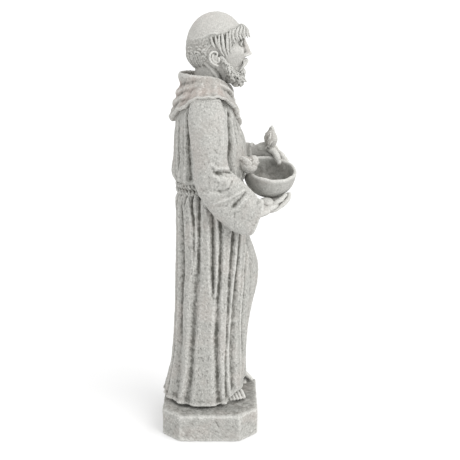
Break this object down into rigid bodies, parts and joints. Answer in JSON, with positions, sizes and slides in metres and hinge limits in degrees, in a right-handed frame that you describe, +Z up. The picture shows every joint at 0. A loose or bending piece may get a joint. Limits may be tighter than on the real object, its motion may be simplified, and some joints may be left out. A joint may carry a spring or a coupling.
{
  "type": "saint francis statue",
  "caption": "Standing robed friar statue in cast stone, holding a shallow bowl with small birds, on a low cut-corner base.",
  "frame": {"origin": "centre of the base's flat underside, on the surface it stands on", "axes": "+Z up, -Y the way the figure faces, +X the figure's left"},
  "size_m": [0.2249, 0.2478, 0.7647],
  "materials": {
    "cast_stone": "matt, coarse grained and weathered"
  },
  "bodies": {
    "root": {"friar_statue": "cast_stone"}
  },
  "joints": []
}
